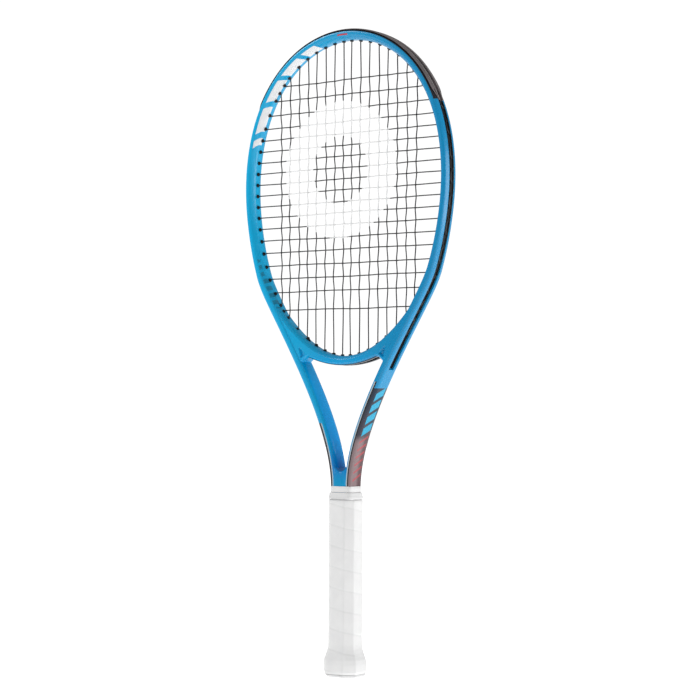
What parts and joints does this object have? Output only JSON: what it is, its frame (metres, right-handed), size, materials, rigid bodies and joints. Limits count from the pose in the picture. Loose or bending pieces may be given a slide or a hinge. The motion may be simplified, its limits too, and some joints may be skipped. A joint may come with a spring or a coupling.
{
  "type": "tennis racket",
  "caption": "Strung tennis racket: egg-shaped hoop with open V throat, woven string bed, grommet strips, octagonal wrapped grip and a butt cap with a hinged trap door",
  "frame": {"origin": "middle of the butt end, on the racket's long axis, at the lowest point of the butt cap", "axes": "+Z runs from the butt to the tip, X lies across the face, +Y is the back of the face and -Y its front"},
  "size_m": [0.2647, 0.0406, 0.6856],
  "materials": {
    "paint": "gloss lacquer over carbon composite, bright blue",
    "guard": "black nylon with a soft sheen",
    "string": "black polyester string, smooth",
    "pallet": "moulded foam, dark grey",
    "cap": "white moulded plastic",
    "steel": "plain wire",
    "badge": "plain grey dome",
    "grip": "white synthetic leather wrap, matte",
    "collar": "white rubber",
    "tape": "white adhesive vinyl tape"
  },
  "bodies": {
    "racket": {"frame": "paint", "throat_bridge": "paint", "bumper_guard": "guard", "side_grommets_right": "guard", "side_grommets_left": "guard", "throat_grommets": "guard", "main_string": "string", "cross_string": "string", "handle_pallet_front": "pallet", "handle_pallet_back": "pallet", "butt_cap": "cap", "door_hinge_pin": "steel", "cap_staple_front": "steel", "cap_staple_back": "steel", "wrap_staple": "steel", "base_grip": "grip", "grip_collar": "collar", "finishing_tape": "tape"},
    "door": {"butt_door": "cap", "end_badge": "badge"}
  },
  "joints": [
    {"name": "butt_door_hinge", "type": "hinge", "parent": "racket", "child": "door", "pos_m": [0, 0.0126, 0.00135], "axis": [1, 0, 0], "range_deg": [0, 95]}
  ]
}
